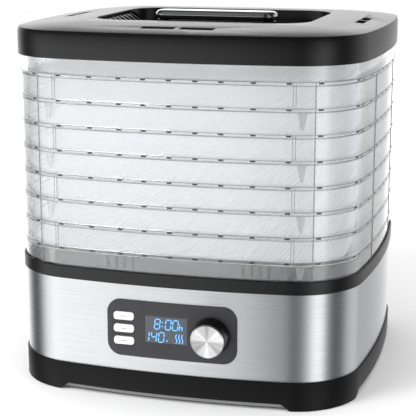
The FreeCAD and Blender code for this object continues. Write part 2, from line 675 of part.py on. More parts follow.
handle_posts = group("PostPair", [
    cylinder("Post", x, 0, "$recess_floor", 5.5, "$handle_bottom - $recess_floor") for x in POST_SPOTS
])
keep(cut("HandlePosts", handle_posts, [handle_screws]), "handle_posts")

# ---------------------------------------------------------------- check and write
doc.recompute()
failed = [o.Name for o in doc.Objects if "Invalid" in o.State or "Error" in o.State]
if failed:
    raise RuntimeError(f"failed objects: {failed}")
for piece in parts:
    if piece.Shape.isNull() or not piece.Shape.isValid():
        raise RuntimeError(f"{piece.Label} has no valid shape")
for piece in parts:
    piece.Shape.exportStep(f"parts/{piece.Label}.step")
    size = piece.Shape.BoundBox
    print(f"{piece.Label:20s} {len(piece.Shape.Solids)} solids  z {size.ZMin:7.2f} to {size.ZMax:7.2f}")
print(len(parts), "nodes")
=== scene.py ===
import json
import math

import bpy
import bmesh
import numpy as np
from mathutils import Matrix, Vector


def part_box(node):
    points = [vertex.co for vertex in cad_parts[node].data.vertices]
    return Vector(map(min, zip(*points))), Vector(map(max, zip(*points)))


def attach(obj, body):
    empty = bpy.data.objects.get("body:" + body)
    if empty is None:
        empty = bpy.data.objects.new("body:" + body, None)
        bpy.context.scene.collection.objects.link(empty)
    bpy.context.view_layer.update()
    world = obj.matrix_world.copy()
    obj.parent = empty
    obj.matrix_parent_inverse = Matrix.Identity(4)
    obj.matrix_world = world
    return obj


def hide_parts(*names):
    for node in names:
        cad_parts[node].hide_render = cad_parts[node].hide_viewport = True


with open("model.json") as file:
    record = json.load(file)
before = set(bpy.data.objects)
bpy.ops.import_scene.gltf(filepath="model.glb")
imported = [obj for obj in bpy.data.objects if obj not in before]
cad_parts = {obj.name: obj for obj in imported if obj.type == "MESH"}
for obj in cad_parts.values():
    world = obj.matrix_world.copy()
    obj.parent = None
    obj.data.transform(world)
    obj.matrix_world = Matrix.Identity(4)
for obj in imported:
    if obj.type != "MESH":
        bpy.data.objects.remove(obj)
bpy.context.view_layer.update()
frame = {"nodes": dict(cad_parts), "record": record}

mm = 0.001
scene = bpy.context.scene
scene.view_settings.view_transform = "Standard"

camera = {
    "place": (0.3216, -1.1851, 0.4273),
    "turnLeft": 0.2714,     # radians
    "tipDown": 0.2273,
    "lens": 111.5,
}
camData = bpy.data.cameras.new("camera")
camData.lens = camera["lens"]
camData.sensor_width = 36
camData.clip_end = 50
cam = bpy.data.objects.new("camera", camData)
cam.location = camera["place"]
cam.rotation_euler = (math.pi / 2 - camera["tipDown"], 0, camera["turnLeft"])
scene.collection.objects.link(cam)
scene.camera = cam
print("camera placed")


# The outline that every shell follows: a rounded square with four bowed sides. The bows and the
# corners are circles, so an inset is the same shape with every radius less by the inset.
outline = {
    "frontBow": 843.6 * mm,
    "sideBow": 821.0 * mm,
    "corner": 63.6 * mm,
    "stepsPerSide": 40,
    "stepsPerCorner": 22,
}


# Points and outward normals once round, from the middle of the front towards the right.
# A corner circle touches both bows, so its centre is (bow - corner) from each bow's centre.
def outlineLoop(o=outline):
    low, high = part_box("top_ring")
    halfWidth, halfDepth = (high[0] - low[0]) / 2, (high[1] - low[1]) / 2
    frontY = o["frontBow"] - halfDepth
    sideX = halfWidth - o["sideBow"]
    a, b = o["frontBow"] - o["corner"], o["sideBow"] - o["corner"]
    span = math.hypot(sideX, frontY)
    along = (a * a - b * b + span * span) / (2 * span)
    away = math.sqrt(a * a - along * along)
    ux, uy = sideX / span, -frontY / span
    centre = min(((ux * along + s * uy * away, frontY + uy * along - s * ux * away) for s in (-1, 1)),
                 key=lambda c: c[1] - c[0])
    frontEnd = math.atan2(centre[1] - frontY, centre[0])
    sideStart = math.atan2(centre[1], centre[0] - sideX)
    half, corner = o["stepsPerSide"] // 2, o["stepsPerCorner"]
    arcs = [
        ((0.0, frontY), o["frontBow"], np.linspace(-math.pi / 2, frontEnd, half, endpoint=False)),
        (centre, o["corner"], np.linspace(frontEnd, sideStart, corner, endpoint=False)),
        ((sideX, 0.0), o["sideBow"], np.linspace(sideStart, 0.0, half + 1)),
    ]
    normal = np.vstack([np.column_stack([np.cos(t), np.sin(t)]) for *ignored, t in arcs])
    point = np.vstack([np.array(c) + r * np.column_stack([np.cos(t), np.sin(t)]) for c, r, t in arcs])
    loops = []
    for quarter in (point, normal):
        right = np.vstack([quarter, (quarter * [1, -1])[::-1][1:]])
        loops.append(np.vstack([right, (right * [-1, 1])[::-1][1:-1]]))
    return loops


loopPoint, loopNormal = outlineLoop()
loopStep = np.linalg.norm(np.roll(loopPoint, -1, 0) - loopPoint, axis=1)
loopAt = np.concatenate([[0.0], np.cumsum(loopStep)])


# A mesh object at the origin from points and faces; corners holds one UV pair per face corner.
def makePiece(name, points, faces, corners=None, sharp=35):
    mesh = bpy.data.meshes.new(name)
    mesh.from_pydata(np.asarray(points, float).tolist(), [], [[int(i) for i in f] for f in faces])
    if corners is not None:
        layer = mesh.uv_layers.new(name="UVMap")
        layer.data.foreach_set("uv", np.asarray(corners, np.float32).ravel())
    mesh.shade_smooth()
    mesh.set_sharp_from_angle(angle=math.radians(sharp))
    piece = bpy.data.objects.new(name, mesh)
    scene.collection.objects.link(piece)
    return piece


# Quads between the rows and columns of a grid, wrapped round where asked.
def gridQuads(rows, columns, roundRows=False, roundColumns=False):
    i, j = np.meshgrid(np.arange(rows if roundRows else rows - 1),
                       np.arange(columns if roundColumns else columns - 1), indexing="ij")
    nextI, nextJ = (i + 1) % rows, (j + 1) % columns
    quads = [i * columns + j, nextI * columns + j, nextI * columns + nextJ, i * columns + nextJ]
    return np.stack(quads, -1).reshape(-1, 4)


# A closed profile with its corners rounded: each corner gives way to an arc that leaves its two
# sides at the radius's tangent length, and a point just outside each arc keeps the flats flat.
def roundedProfile(corners, radius, steps=3):
    corners = np.asarray(corners, float)
    out = []
    for before, here, after in zip(np.roll(corners, 1, 0), corners, np.roll(corners, -1, 0)):
        a, b = before - here, after - here
        la, lb = np.linalg.norm(a), np.linalg.norm(b)
        a, b = a / la, b / lb
        half = math.acos(float(np.clip(a @ b, -1, 1))) / 2
        if half > 1.45:
            out.append(here[None])
            continue
        r = min(radius, 0.45 * min(la, lb) * math.tan(half))
        reach = r / math.tan(half)
        centre = here + (a + b) / np.linalg.norm(a + b) * r / math.sin(half)
        start, end = here + a * reach - centre, here + b * reach - centre
        turn = math.atan2(start[0] * end[1] - start[1] * end[0], start @ end)
        t = np.linspace(0, turn, steps + 1)[:, None]
        arc = centre + start * np.cos(t) + np.array([-start[1], start[0]]) * np.sin(t)
        guard = min(0.15 * r, 0.02 * min(la, lb))
        out.append(np.vstack([arc[:1] + a * guard, arc, arc[-1:] + b * guard]))
    return np.vstack(out)


# A closed profile of (inset, height) carried round the outline: each point stands inset inwards
# along the outline's normal. keepCell chooses cells by their centres. UV is metres along and across.
def sweepRing(name, profile, keepCell=None):
    profile = np.asarray(profile, float)
    around, across = len(loopPoint), len(profile)
    flat = loopPoint[:, None, :] - loopNormal[:, None, :] * profile[None, :, :1]
    height = np.repeat(profile[None, :, 1], around, 0)
    points = np.concatenate([flat, height[..., None]], -1).reshape(-1, 3)
    quads = gridQuads(around, across, True, True)
    size = np.linalg.norm(np.roll(profile, -1, 0) - profile, axis=1)
    acrossAt = np.concatenate([[0.0], np.cumsum(size)])
    i, j = quads[:, 0] // across, quads[:, 0] % across
    u = np.stack([loopAt[i], loopAt[i + 1], loopAt[i + 1], loopAt[i]], -1)
    v = np.stack([acrossAt[j], acrossAt[j], acrossAt[j + 1], acrossAt[j + 1]], -1)
    corners = np.stack([u, v], -1)
    if keepCell is not None:
        keep = keepCell(points[quads].mean(1))
        quads, corners = quads[keep], corners[keep]
    return outward(makePiece(name, points, quads, corners))


# Turns the faces of a closed piece outwards: the volume its faces enclose must be positive.
def outward(piece):
    mesh = bmesh.new()
    mesh.from_mesh(piece.data)
    if mesh.calc_volume(signed=True) < 0:
        bmesh.ops.reverse_faces(mesh, faces=mesh.faces)
        mesh.to_mesh(piece.data)
    mesh.free()
    return piece


# A profile of (radius, distance) spun about an axis. UV is the angle and the distance from the
# axis, so a pattern or a brushing direction can follow the turning.
def spinPiece(name, profile, centre, axis, steps=96):
    profile = np.asarray(profile, float)
    axis = np.array(axis, float)
    side = np.cross(axis, [0.0, 0.0, 1.0] if abs(axis[2]) < 0.9 else [1.0, 0.0, 0.0])
    side /= np.linalg.norm(side)
    other = np.cross(axis, side)
    angle = np.linspace(0, 2 * math.pi, steps, endpoint=False)[:, None, None]
    ray = side * np.cos(angle) + other * np.sin(angle)
    points = np.array(centre) + ray * profile[None, :, :1] + axis * profile[None, :, 1:]
    across = len(profile)
    quads = gridQuads(steps, across, True, False)
    i, j = quads[:, 0] // across, quads[:, 0] % across
    u = np.stack([i, i + 1, i + 1, i], -1) / steps
    v = profile[np.stack([j, j, j + 1, j + 1], -1), 0]
    piece = makePiece(name, points.reshape(-1, 3), quads, np.stack([u, v], -1), 30)
    mesh = bmesh.new()
    mesh.from_mesh(piece.data)
    bmesh.ops.remove_doubles(mesh, verts=mesh.verts, dist=1e-6)
    mesh.to_mesh(piece.data)
    mesh.free()
    return outward(piece)


# The six sides of a block, by its corners: four round the bottom, then four round the top.
blockSides = np.array([[0, 3, 2, 1], [4, 5, 6, 7], [0, 1, 5, 4], [1, 2, 6, 5], [2, 3, 7, 6], [3, 0, 4, 7]])


# Blocks from arrays of low and high corners, all in one mesh.
def blocks(low, high):
    low, high = np.atleast_2d(low).astype(float), np.atleast_2d(high).astype(float)
    pick = np.array([[0, 0, 0], [1, 0, 0], [1, 1, 0], [0, 1, 0], [0, 0, 1], [1, 0, 1], [1, 1, 1], [0, 1, 1]])
    points = np.where(pick[None], high[:, None], low[:, None]).reshape(-1, 3)
    faces = (np.arange(len(low))[:, None, None] * 8 + blockSides[None]).reshape(-1, 4)
    return points, faces


# A merged copy of a CAD node with its sharp edges rounded.
def softened(node, name, radius, segments=3, angle=40):
    piece = frame["nodes"][node].copy()
    piece.data = piece.data.copy()
    piece.name = piece.data.name = name
    piece.parent = None
    scene.collection.objects.link(piece)
    mesh = bmesh.new()
    mesh.from_mesh(piece.data)
    bmesh.ops.remove_doubles(mesh, verts=mesh.verts, dist=1e-6)
    bmesh.ops.dissolve_limit(mesh, angle_limit=math.radians(0.6), verts=mesh.verts, edges=mesh.edges)
    mesh.to_mesh(piece.data)
    mesh.free()
    bevel = piece.modifiers.new("edges", "BEVEL")
    bevel.width = radius
    bevel.segments = segments
    bevel.limit_method = "ANGLE"
    bevel.angle_limit = math.radians(angle)
    bevel.harden_normals = False
    bevel.use_clamp_overlap = True
    finished = bpy.data.meshes.new_from_object(piece.evaluated_get(bpy.context.evaluated_depsgraph_get()))
    piece.modifiers.clear()
    piece.data = finished
    piece.data.shade_smooth()
    piece.data.set_sharp_from_angle(angle=math.radians(32))
    return piece


# sRGB hex to linear light: below 0.04045 a straight line, above it a power of 2.4.
def hexColour(text):
    value = np.array([int(text[i:i + 2], 16) for i in (1, 3, 5)]) / 255
    linear = np.where(value <= 0.04045, value / 12.92, ((value + 0.055) / 1.055) ** 2.4)
    return (*linear.tolist(), 1.0)


# Adds one node, sets its values and links its inputs; a tuple of (node, output) is a link.
def addNode(tree, kind, values=None, **settings):
    node = tree.nodes.new(kind)
    for key, value in settings.items():
        setattr(node, key, value)
    for key, value in (values or {}).items():
        if isinstance(value, tuple) and len(value) == 2 and isinstance(value[0], bpy.types.Node):
            tree.links.new(value[0].outputs[value[1]], node.inputs[key])
        else:
            node.inputs[key].default_value = value
    return node


# A Principled surface. Returns the material, its tree and the shader, ready for detail.
def newSurface(name, colour, roughness, **sockets):
    surface = bpy.data.materials.new(name)
    surface.use_nodes = True
    tree = surface.node_tree
    shader = tree.nodes["Principled BSDF"]
    shader.inputs["Base Color"].default_value = hexColour(colour)
    shader.inputs["Roughness"].default_value = roughness
    for socket, value in sockets.items():
        shader.inputs[socket.replace("_", " ")].default_value = value
    return surface, tree, shader


# Uneven sheen and a shallow relief over a whole surface: one noise of the given size drives the
# roughness between two values and, where it has a depth, a bump.
def addGrain(tree, shader, size, low, high, depth=0.0, strength=0.4, stretch=(1, 1, 1), source="Object"):
    place = addNode(tree, "ShaderNodeTexCoord")
    scaled = addNode(tree, "ShaderNodeMapping", {"Vector": (place, source), "Scale": stretch})
    noise = addNode(tree, "ShaderNodeTexNoise",
                    {"Vector": (scaled, "Vector"), "Scale": 1 / size, "Detail": 3.0})
    sheen = addNode(tree, "ShaderNodeMapRange", {"Value": (noise, "Fac"), "From Min": 0.3, "From Max": 0.7,
                                                 "To Min": low, "To Max": high})
    tree.links.new(sheen.outputs["Result"], shader.inputs["Roughness"])
    if depth:
        relief = addNode(tree, "ShaderNodeBump",
                         {"Height": (noise, "Fac"), "Distance": depth, "Strength": strength})
        tree.links.new(relief.outputs["Normal"], shader.inputs["Normal"])
    return noise


# Shifts the colour by a few percent along a noise, as pigment and handling do.
def addTint(tree, shader, noise, colour, other):
    blend = addNode(tree, "ShaderNodeMix", {"Factor": (noise, "Fac")}, data_type="RGBA")
    blend.inputs[6].default_value = hexColour(colour)
    blend.inputs[7].default_value = hexColour(other)
    tree.links.new(blend.outputs[2], shader.inputs["Base Color"])


# Moulded ABS with a fine spark texture: grains about 0.5 mm, a soft dark sheen.
def mouldedAbs(name, colour, other, roughness=0.36, grain=0.5 * mm, depth=0.012 * mm, **sockets):
    surface, tree, shader = newSurface(name, colour, roughness, **sockets)
    noise = addGrain(tree, shader, grain, roughness - 0.04, roughness + 0.05, depth)
    addTint(tree, shader, noise, colour, other)
    return surface


# Polished ABS, as in the tub of the lid: a mirror gloss with slow waves from the mould.
def polishedAbs(name, colour, roughness=0.08):
    surface, tree, shader = newSurface(name, colour, roughness)
    addGrain(tree, shader, 12 * mm, roughness * 0.7, roughness * 1.4, 0.02 * mm, 0.2)
    return surface


# Clear polystyrene, injection moulded: it sees through, and its rims and steps catch the light.
def clearPolystyrene(name, colour="#fafbfc", roughness=0.02):
    surface, tree, shader = newSurface(name, colour, roughness, Transmission_Weight=1.0, IOR=1.4,
                                       Coat_Weight=1.0, Coat_Roughness=0.04, Coat_IOR=1.9)
    addGrain(tree, shader, 14 * mm, roughness * 0.5, roughness * 2.0)
    return surface


# Frosted polystyrene of the drying nets: milky white, lets some light through, and glows faintly by its own
# emission: painted light that brightens the nets between the trays.
def frostedPolystyrene(name, colour="#f4f4f6", roughness=0.5):
    surface, tree, shader = newSurface(name, colour, roughness, Transmission_Weight=0.55, IOR=1.2,
                                       Emission_Strength=0.12)
    shader.inputs["Emission Color"].default_value = hexColour(colour)
    addGrain(tree, shader, 3 * mm, roughness - 0.1, roughness + 0.1, 0.03 * mm)
    return surface


# Brushed stainless sheet: the lines run round the body, so light smears up and down. The lines
# are about 0.4 mm apart and 60 mm long, on the sheet's own UV in metres.
def brushedSheet(name, colour="#dcdddf", other="#d0d1d3", roughness=0.3, across=0.4 * mm, along=60 * mm):
    surface, tree, shader = newSurface(name, colour, roughness, Metallic=1.0, Anisotropic=0.8,
                                       Anisotropic_Rotation=0.25)
    noise = addGrain(tree, shader, 1.0, roughness - 0.06, roughness + 0.08, 0.012 * mm, 0.12,
                     (1 / along, 1 / across, 1.0), "UV")
    addTint(tree, shader, noise, colour, other)
    tangent = addNode(tree, "ShaderNodeTangent", direction_type="UV_MAP", uv_map="UVMap")
    tree.links.new(tangent.outputs["Tangent"], shader.inputs["Tangent"])
    return surface


# Aluminium turned on a lathe: rings about 0.25 mm apart, brushed along the turning. Fans from the centre,
# three broad ones with finer spokes between them, are painted into the colour: a painted reflection of the
# turned rings.
def spunAluminium(name, colour="#ffffff", other="#adadad", roughness=0.28, ring=0.25 * mm):
    surface, tree, shader = newSurface(name, colour, roughness, Metallic=1.0, Anisotropic=0.85,
                                       Anisotropic_Rotation=0.25)
    noise = addGrain(tree, shader, 1.0, roughness - 0.05, roughness + 0.06, 0.01 * mm, 0.15,
                     (3.0, 1 / ring, 1.0), "UV")
    # Painted reflection: the colour goes from white to grey in fans round the cap's centre.
    place = addNode(tree, "ShaderNodeTexCoord")
    axes = addNode(tree, "ShaderNodeSeparateXYZ", {"Vector": (place, "UV")})
    angle = addNode(tree, "ShaderNodeMath", {0: (axes, "X"), 1: 2 * math.pi * 3}, operation="MULTIPLY")
    wave = addNode(tree, "ShaderNodeMath", {0: (angle, "Value")}, operation="SINE")
    spokes = addNode(tree, "ShaderNodeMath", {0: (axes, "X"), 1: 2 * math.pi * 11}, operation="MULTIPLY")
    ripple = addNode(tree, "ShaderNodeMath", {0: (spokes, "Value")}, operation="SINE")
    fine = addNode(tree, "ShaderNodeMath", {0: (ripple, "Value"), 1: 0.35}, operation="MULTIPLY")
    fans = addNode(tree, "ShaderNodeMath", {0: (wave, "Value"), 1: (fine, "Value")}, operation="ADD")
    fan = addNode(tree, "ShaderNodeMapRange", {"Value": (fans, "Value"), "From Min": -1.35, "From Max": 1.35})
    blend = addNode(tree, "ShaderNodeMix", {"Factor": (fan, "Result")}, data_type="RGBA")
    blend.inputs[6].default_value = hexColour(colour)
    blend.inputs[7].default_value = hexColour(other)
    tree.links.new(blend.outputs[2], shader.inputs["Base Color"])
    tangent = addNode(tree, "ShaderNodeTangent", direction_type="UV_MAP", uv_map="UVMap")
    tree.links.new(tangent.outputs["Tangent"], shader.inputs["Tangent"])
    return surface


# Plain metal parts, plated or drawn: small uneven patches in the sheen.
def plainMetal(name, colour, other, roughness=0.3, patch=2 * mm):
    surface, tree, shader = newSurface(name, colour, roughness, Metallic=1.0)
    noise = addGrain(tree, shader, patch, roughness * 0.8, roughness * 1.25, 0.005 * mm, 0.2)
    addTint(tree, shader, noise, colour, other)
    return surface


# Lit segments of a display: they glow evenly, with a slightly uneven sheen.
def litSegments(name, colour="#5fa8f5", power=0.85):
    surface, tree, shader = newSurface(name, colour, 0.4, Emission_Strength=power)
    shader.inputs["Emission Color"].default_value = hexColour(colour)
    addGrain(tree, shader, 2 * mm, 0.35, 0.45)
    return surface


finishes = {
    "black_plastic": mouldedAbs("mouldedBlackAbs", "#101011", "#19191a"),
    "gloss_black": polishedAbs("polishedBlackAbs", "#040405", 0.12),
    "clear_plastic": clearPolystyrene("clearPolystyrene"),
    "brushed_steel": brushedSheet("brushedStainless"),
    "panel_grey": mouldedAbs("charcoalPanelAbs", "#303033", "#3a3a3d", 0.5),
    "duct_grey": mouldedAbs("paintedDuctSteel", "#8f9092", "#9a9b9d", 0.42, 1.5 * mm),
    "deck_grey": mouldedAbs("greyDeckAbs", "#4a4b4d", "#545557", 0.4),
    "white_plastic": mouldedAbs("whiteKeyAbs", "#ececec", "#f6f6f6", 0.4),
    "spun_aluminium": spunAluminium("spunAluminium"),
    "chrome": plainMetal("chromePlate", "#dcdee0", "#d2d4d6", 0.07, 20 * mm),
    "steel": plainMetal("zincPlatedSteel", "#a8a8a6", "#949492", 0.34),
    "rubber": mouldedAbs("blackRubber", "#161616", "#1f1f1f", 0.75, 1 * mm),
    "display_glass": polishedAbs("tintedDisplayWindow", "#505458", 0.12),
    "circuit_board": mouldedAbs("solderMaskGreen", "#12482a", "#185a35", 0.35, 4 * mm),
    "component_black": mouldedAbs("componentBlack", "#1b1b1c", "#262627", 0.5),
    "component_blue": mouldedAbs("filmCapacitorBlue", "#1d4fa8", "#2359b8", 0.35),
    "mica": mouldedAbs("micaBoard", "#a8946c", "#8f7c57", 0.6, 3 * mm),
    "copper_coil": plainMetal("copperWinding", "#b07a52", "#8f5f3d", 0.4, 0.6 * mm),
}
frostedNet = frostedPolystyrene("frostedNetPolystyrene")
# The same ABS with less and more sheen, by its refractive index, for the skirt, sides and lid.
skirtBlack = mouldedAbs("matteSkirtAbs", "#050505", "#0a0a0a", 0.42, IOR=1.3)
sideBlack = mouldedAbs("satinSideAbs", "#060607", "#0a0a0b", 0.3, IOR=1.48)
lidBlack = mouldedAbs("smoothLidAbs", "#0c0c0d", "#121213", 0.22, IOR=1.19)
# Near-black ABS that hardly reflects: painted shade inside the lid's vent slots.
slotShadeBlack = mouldedAbs("paintedSlotShadeAbs", "#020202", "#050505", 0.8, IOR=1.05)
# Grey of the pan's inner lip: painted shade for the shadowed floor seen under the base.
lipShadeGrey = mouldedAbs("greyLipShadeAbs", "#97989b", "#a2a3a6", 0.5)
legClear = clearPolystyrene("thickPolystyrene", "#d6d8dc")
ventShade = mouldedAbs("shadedVentSlot", "#2c2d33", "#3a3b42", 0.3)
segmentGlow = litSegments("litSegments")
keyInk = mouldedAbs("greyKeyInk", "#8a8a8c", "#7c7c7e", 0.6)
slotOf = {part["node"]: part["material_slot"] for part in frame["record"]["subparts"]}
for node, piece in frame["nodes"].items():
    piece.data.materials.clear()
    piece.data.materials.append(finishes[slotOf[node]])
print("finishes made")


# Gives a new piece its finish, its own surface or the slot's, and its body, and hides the node it stands for.
def finishPiece(piece, body, slot, node=None, surface=None):
    piece.data.materials.clear()
    piece.data.materials.append(surface or finishes[slot])
    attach(piece, body)
    if node:
        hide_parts(node)
    return piece


# Wall between two insets and two heights, with rounded corners.
def wallProfile(outer, inner, bottom, top, radius, steps=3):
    return roundedProfile([(outer, bottom), (outer, top), (inner, top), (inner, bottom)], radius, steps)


shells = {
    "wrapInset": 2.0 * mm,
    "wrapSheet": 0.8 * mm,
    "ringRim": 1.6 * mm,
    "ringLedge": 9.0 * mm,
}

wrapLow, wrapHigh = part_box("steel_wrap")
panelLow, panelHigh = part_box("control_panel")
panelHide = 9 * mm                                # the opening lies this far inside the panel's flange


def outsidePanel(centres):
    inX = (centres[:, 0] > panelLow[0] + panelHide) & (centres[:, 0] < panelHigh[0] - panelHide)
    inZ = (centres[:, 2] > panelLow[2] + panelHide) & (centres[:, 2] < panelHigh[2] - panelHide)
    return ~(inX & inZ & (centres[:, 1] < 0))


sheetTop, sheetBottom = wrapHigh[2], wrapLow[2]
outer, inner = shells["wrapInset"], shells["wrapInset"] + shells["wrapSheet"]
levels = np.linspace(sheetBottom, sheetTop, 25)
wrapProfile = np.vstack([np.column_stack([np.full(25, outer), levels]),
                         np.column_stack([np.full(25, inner), levels[::-1]])])
steelWrap = sweepRing("steelWrap", wrapProfile, keepCell=outsidePanel)
finishPiece(steelWrap, "base", "brushed_steel", "steel_wrap")

ringLow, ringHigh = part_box("top_ring")
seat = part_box("tray_1")[0][2]
rim, ledge = shells["ringRim"], shells["ringLedge"]
ringCorners = [(0, ringLow[2]), (0, ringHigh[2]), (rim, ringHigh[2]), (rim, seat), (ledge, seat),
               (ledge, ringLow[2])]
topRing = sweepRing("topRing", roundedProfile(ringCorners, 0.7 * mm))
finishPiece(topRing, "base", "black_plastic", "top_ring", sideBlack)

for node, body, radius in [("base_pan", "base", 0.8), ("control_panel", "base", 0.5),
                           ("air_housing", "base", 1.2), ("inner_deck", "base", 0.5),
                           ("cord_gland", "base", 0.8), ("lid_liner", "lid", 0.4),
                           ("lid_handle", "lid", 4.2), ("knob_skirt", "knob", 0.5),
                           ("button_top", "button_top_key", 0.7), ("button_middle", "button_middle_key", 0.7),
                           ("button_bottom", "button_bottom_key", 0.7)]:
    piece = softened(node, node + "Soft", radius * mm)
    finishPiece(piece, body, slotOf[node], node, skirtBlack if node == "base_pan" else None)
# A real inner lip just inside the skirt, seen through its arches; its grey is painted shade of the floor
# under the base.
lipStrip = sweepRing("panLipShade", wallProfile(5.6 * mm, 6.15 * mm, 1.9 * mm, 6.5 * mm, 0.2 * mm, 1))
finishPiece(lipStrip, "base", "deck_grey", surface=lipShadeGrey)
print("shells made")


# A rounded bar's outline in plan: quarter circles of the given radius at its four corners.
def roundedPlan(halfX, halfY, radius, steps=8):
    turn = np.linspace(0, math.pi / 2, steps)
    arc = np.column_stack([halfX - radius + radius * np.cos(turn), halfY - radius + radius * np.sin(turn)])
    right = np.vstack([arc, arc[::-1] * [-1, 1]])
    return np.vstack([right, -right])


# One tray: skirt, shoulder and upstand in one closed profile, then the net of its floor.
tray = {
    "count": 8,
    "wall": 1.8 * mm,
    "skirtInset": 2.0 * mm,
    "upstandInset": 7.0 * mm,
    "upstand": 17.5 * mm,
    "band": 3.4 * mm,
    "netPitch": 4.0 * mm,
    "netStrand": 1.3 * mm,
    "netSide": 12 * mm,        # clear rim between the net and the wall at the two sides
    "netFront": 4 * mm,        # the same at the front and the back
    "netCorner": 46 * mm,
    "netEdge": 2.2 * mm,
}


# A flat closed band between two plan outlines with as many points each.
def bandPiece(name, outerPlan, innerPlan, bottom, top):
    count = len(outerPlan)
    rings = [(outerPlan, bottom), (outerPlan, top), (innerPlan, top), (innerPlan, bottom)]
    points = np.vstack([np.column_stack([plan, np.full(count, z)]) for plan, z in rings])
    index = np.arange(count)
    after = (index + 1) % count
    faces = [np.stack([index + a, after + a, after + b, index + b], -1)
             for a, b in ((0, count), (count, 2 * count), (2 * count, 3 * count), (3 * count, 0))]
    return outward(makePiece(name, points, np.vstack(faces)))


def trayShell(number):
    t = tray
    bottom, top = (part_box(f"tray_{number}")[k][2] for k in (0, 1))
    level = top - t["upstand"]
    a, b, w = t["skirtInset"], t["upstandInset"], t["wall"]
    corners = [(a, bottom), (a, level), (b, level), (b, top), (b + w, top), (b + w, level - 1.4 * mm),
               (b + w, level - t["band"]), (a + w, level - t["band"]), (a + w, bottom)]
    shell = sweepRing(f"tray{number}Shell", roundedProfile(corners, 0.35 * mm, 2))
    body = f"tray_{number}_stack"
    finishPiece(shell, body, "clear_plastic", f"tray_{number}")
    return level, body


def trayNet(number, level, body):
    t = tray
    reachX, reachY = ringHigh[0] - t["upstandInset"] - t["wall"], ringHigh[1] - t["upstandInset"] - t["wall"]
    pitch, strand = t["netPitch"], t["netStrand"]
    reachX, reachY, corner = reachX - t["netSide"], reachY - t["netFront"], t["netCorner"]
    lows, highs = [], []
    for along, reach, other, layer in ((0, reachX, reachY, 0.0), (1, reachY, reachX, 0.5 * mm)):
        last = math.floor((other - 2 * mm) / pitch)
        at = np.arange(-last, last + 1) * pitch
        short = np.clip((np.abs(at) - (other - corner)) / corner, 0, 1)
        half = reach - corner * (1 - np.sqrt(1 - short ** 2)) - 1.0 * mm
        low, high = np.zeros((len(at), 3)), np.zeros((len(at), 3))
        low[:, along], high[:, along] = -half, half
        low[:, 1 - along], high[:, 1 - along] = at - strand / 2, at + strand / 2
        low[:, 2], high[:, 2] = level - 1.5 * mm + layer, level - 0.8 * mm + layer
        lows.append(low)
        highs.append(high)
    points, faces = blocks(np.vstack(lows), np.vstack(highs))
    net = makePiece(f"tray{number}Net", points, faces)
    finishPiece(net, body, "clear_plastic", surface=frostedNet)
    edge = bandPiece(f"tray{number}NetEdge", roundedPlan(reachX, reachY, corner, 14),
                     roundedPlan(reachX - t["netEdge"], reachY - t["netEdge"], corner - t["netEdge"], 14),
                     level - 1.6 * mm, level - 0.2 * mm)
    finishPiece(edge, body, "clear_plastic", surface=frostedNet)


for number in range(1, tray["count"] + 1):
    level, body = trayShell(number)
    trayNet(number, level, body)
print("trays made")


# Small prisms that follow the outline: each stands at a distance along it from the middle of the
# front, between two insets and two heights, and may be narrower at its foot than at its top.
def prismsRound(at, width, insets, heights, footWidth=None):
    at = np.atleast_1d(np.asarray(at, float)) % loopAt[-1]
    closedPoint, closedNormal = np.vstack([loopPoint, loopPoint[:1]]), np.vstack([loopNormal, loopNormal[:1]])
    place = np.stack([np.interp(at, loopAt, closedPoint[:, k]) for k in (0, 1)], -1)
    out = np.stack([np.interp(at, loopAt, closedNormal[:, k]) for k in (0, 1)], -1)
    out /= np.linalg.norm(out, axis=1, keepdims=True)
    along = np.stack([-out[:, 1], out[:, 0]], -1)
    pick = np.array([[-1, 0, 0], [1, 0, 0], [1, 1, 0], [-1, 1, 0],
                     [-1, 0, 1], [1, 0, 1], [1, 1, 1], [-1, 1, 1]])
    half = np.where(pick[:, 2] == 1, width, footWidth or width) / 2
    flat = (place[:, None] + along[:, None] * (pick[:, 0] * half)[None, :, None]
            - out[:, None] * np.where(pick[:, 1] == 1, insets[1], insets[0])[None, :, None])
    tall = np.where(pick[:, 2] == 1, heights[1], heights[0])[None, :, None]
    tall = np.broadcast_to(tall, flat.shape[:2] + (1,))
    points = np.concatenate([flat, tall], -1).reshape(-1, 3)
    return points, (np.arange(len(at))[:, None, None] * 8 + blockSides[None]).reshape(-1, 4)


marks = {
    "ventFront": (0.0, 23 * mm, 45.5 * mm, 73 * mm, 103 * mm, 131 * mm, 174 * mm),   # from the middle
    "ventSide": (0.0, 23 * mm, 45.5 * mm, 73 * mm),
    "ventWide": 4.4 * mm,
    "ventTall": 1.3 * mm,
    "legSpot": 115 * mm,          # on every other tray, the lowest among them
    "legWide": 8.5 * mm,
    "legFoot": 2.5 * mm,
    "legTall": 15 * mm,
    "ribPair": (106.5 * mm, 109 * mm),      # on the trays between
    "ribSpots": (126 * mm, 229 * mm),
    "ribWide": 0.8 * mm,
    "seamTall": 0.45 * mm,
    "ribInsets": (1.5 * mm, 2.0 * mm),
}

# A thin dark line where two pieces of clear plastic meet: a real joint, its grey painted shade for the dark
# edge that refraction gives the clear plastic there.
seamPaintedShade, seamTree, seamShader = newSurface("paintedSeamShade", "#9a9ca2", 0.3,
                                             Transmission_Weight=0.4, IOR=1.2)
addGrain(seamTree, seamShader, 5 * mm, 0.25, 0.4)


def bothWays(spots):
    half = loopAt[-1] / 2
    spots = np.asarray(spots, float)
    return np.concatenate([spots, -spots, half + spots, half - spots])


